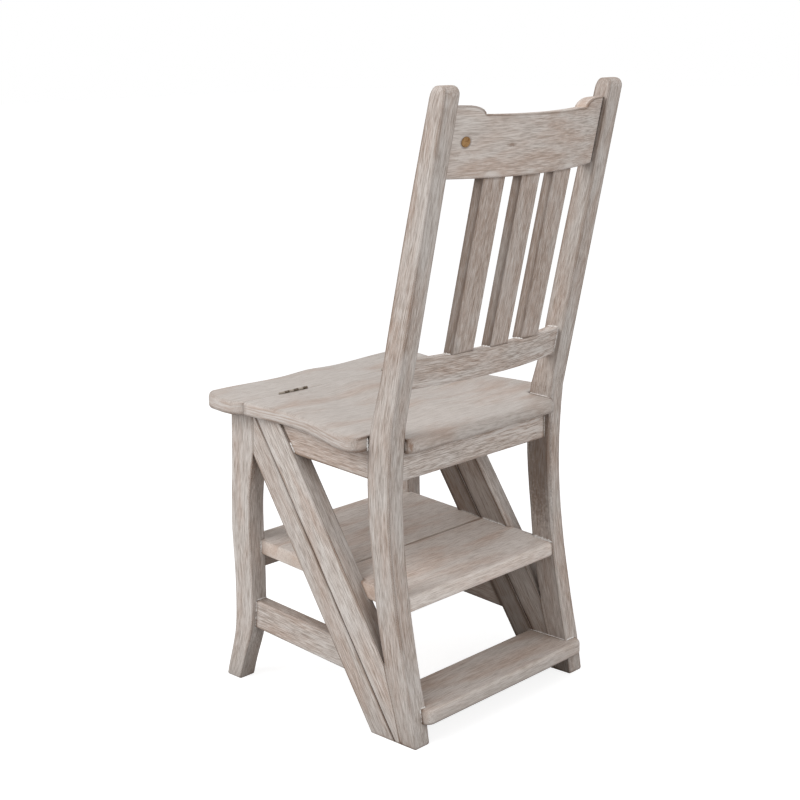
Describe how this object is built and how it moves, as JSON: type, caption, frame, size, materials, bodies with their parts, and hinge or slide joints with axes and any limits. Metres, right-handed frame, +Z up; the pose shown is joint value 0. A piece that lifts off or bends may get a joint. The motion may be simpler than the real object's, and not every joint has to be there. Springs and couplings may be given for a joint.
{
  "type": "folding step chair",
  "caption": "Slat-back wooden side chair whose rear part turns over forwards on hinges in the seat to become a short ladder.",
  "frame": {"origin": "centre of the bounding box's bottom face, on the floor", "axes": "+Z up, -Y towards the front of the seat, +X towards the sitter's left, x = 0 is the middle plane of legs and seat"},
  "size_m": [0.448, 0.4664, 0.902],
  "materials": {
    "frame_wood": "limed, matt, with whitish filler along the grain",
    "seat_wood": "limed, silky from use",
    "tread_wood": "limed, a little worn",
    "bare_wood": "bare dowel",
    "plug_wood": "bare brown end grain",
    "hinge_brass": "dull, darkened"
  },
  "bodies": {
    "front_part": {"front_leg_left": "frame_wood", "front_leg_right": "frame_wood", "base_diagonal_left": "frame_wood", "base_diagonal_right": "frame_wood", "side_stretcher_left": "frame_wood", "side_stretcher_right": "frame_wood", "front_seat_strip": "seat_wood", "front_apron": "frame_wood", "front_tread_rail": "frame_wood", "middle_tread_front": "tread_wood", "hinge_front_leaf_left": "hinge_brass", "hinge_front_leaf_right": "hinge_brass", "hinge_front_screw_left_1": "hinge_brass", "hinge_front_screw_left_2": "hinge_brass", "hinge_front_screw_left_3": "hinge_brass", "hinge_front_screw_right_1": "hinge_brass", "hinge_front_screw_right_2": "hinge_brass", "hinge_front_screw_right_3": "hinge_brass"},
    "rear_part": {"back_post_left": "frame_wood", "back_post_right": "frame_wood", "upper_diagonal_left": "frame_wood", "upper_diagonal_right": "frame_wood", "side_apron_left": "frame_wood", "side_apron_right": "frame_wood", "seat_panel": "seat_wood", "rear_apron": "frame_wood", "middle_tread_rear": "tread_wood", "bottom_tread": "tread_wood", "crest_rail": "frame_wood", "lower_back_rail": "frame_wood", "back_slat_right": "frame_wood", "back_slat_centre": "frame_wood", "back_slat_left": "frame_wood", "crest_rail_plug": "plug_wood", "crest_rail_dowel_lower_left": "bare_wood", "crest_rail_dowel_lower_right": "bare_wood", "crest_rail_dowel_upper_left": "bare_wood", "crest_rail_dowel_upper_right": "bare_wood", "lower_back_rail_dowel_lower_left": "bare_wood", "lower_back_rail_dowel_lower_right": "bare_wood", "lower_back_rail_dowel_upper_left": "bare_wood", "lower_back_rail_dowel_upper_right": "bare_wood", "rear_apron_dowel_lower_left": "bare_wood", "rear_apron_dowel_lower_right": "bare_wood", "rear_apron_dowel_upper_left": "bare_wood", "rear_apron_dowel_upper_right": "bare_wood", "hinge_rear_leaf_left": "hinge_brass", "hinge_rear_leaf_right": "hinge_brass", "hinge_pin_left": "hinge_brass", "hinge_pin_right": "hinge_brass", "hinge_rear_screw_left_1": "hinge_brass", "hinge_rear_screw_left_2": "hinge_brass", "hinge_rear_screw_left_3": "hinge_brass", "hinge_rear_screw_right_1": "hinge_brass", "hinge_rear_screw_right_2": "hinge_brass", "hinge_rear_screw_right_3": "hinge_brass"}
  },
  "joints": [
    {"name": "turn_over", "type": "hinge", "parent": "front_part", "child": "rear_part", "pos_m": [0, -0.15125, 0.447], "axis": [1, 0, 0], "range_deg": [0, 178.7]}
  ]
}
